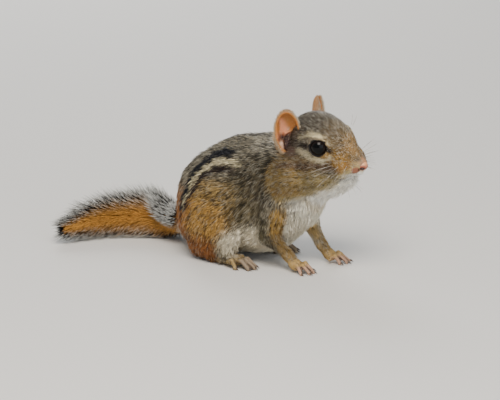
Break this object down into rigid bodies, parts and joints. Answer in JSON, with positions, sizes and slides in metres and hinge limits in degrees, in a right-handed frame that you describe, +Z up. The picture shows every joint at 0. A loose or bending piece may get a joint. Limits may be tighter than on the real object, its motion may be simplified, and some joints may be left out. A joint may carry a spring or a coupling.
{
  "type": "chipmunk",
  "caption": "Life-size eastern chipmunk crouched on all fours, head turned to its right, cheek pouches full, bushy tail laid round behind it.",
  "frame": {"origin": "middle of the bounding box, on the floor the feet stand on", "axes": "+X the way the body faces, +Y to its left, +Z up"},
  "size_m": [0.169, 0.0578, 0.0844],
  "materials": {
    "back_coat": "matt short fur, grizzled grey-brown with dark and pale stripes",
    "neck_coat": "matt short fur, grey at the nape and cream at the throat",
    "head_coat": "matt short fur, grizzled brown with pale stripes by the eye",
    "cheek_coat": "matt short fur, golden tan",
    "thigh_coat": "matt short fur, golden to rufous",
    "leg_coat": "matt short fur, yellow ochre",
    "tail_hair": "long hair, dark with pale tips",
    "ear_skin": "thin bare skin with a fringe of short hair",
    "forefoot_skin": "thinly haired skin with pale claws",
    "hindfoot_skin": "thinly haired skin with pale claws",
    "nose_skin": "moist bare skin",
    "eye": "wet, glossy black"
  },
  "bodies": {
    "root": {"head": "head_coat", "nose": "nose_skin", "neck": "neck_coat", "torso": "back_coat", "ear_left": "ear_skin", "ear_right": "ear_skin", "eye_left": "eye", "eye_right": "eye", "cheek_pouch_left": "cheek_coat", "cheek_pouch_right": "cheek_coat", "foreleg_left": "leg_coat", "foreleg_right": "leg_coat", "forefoot_left": "forefoot_skin", "forefoot_right": "forefoot_skin", "thigh_left": "thigh_coat", "thigh_right": "thigh_coat", "hindfoot_left": "hindfoot_skin", "hindfoot_right": "hindfoot_skin", "tail_1": "tail_hair", "tail_2": "tail_hair", "tail_3": "tail_hair", "tail_4": "tail_hair"}
  },
  "joints": []
}
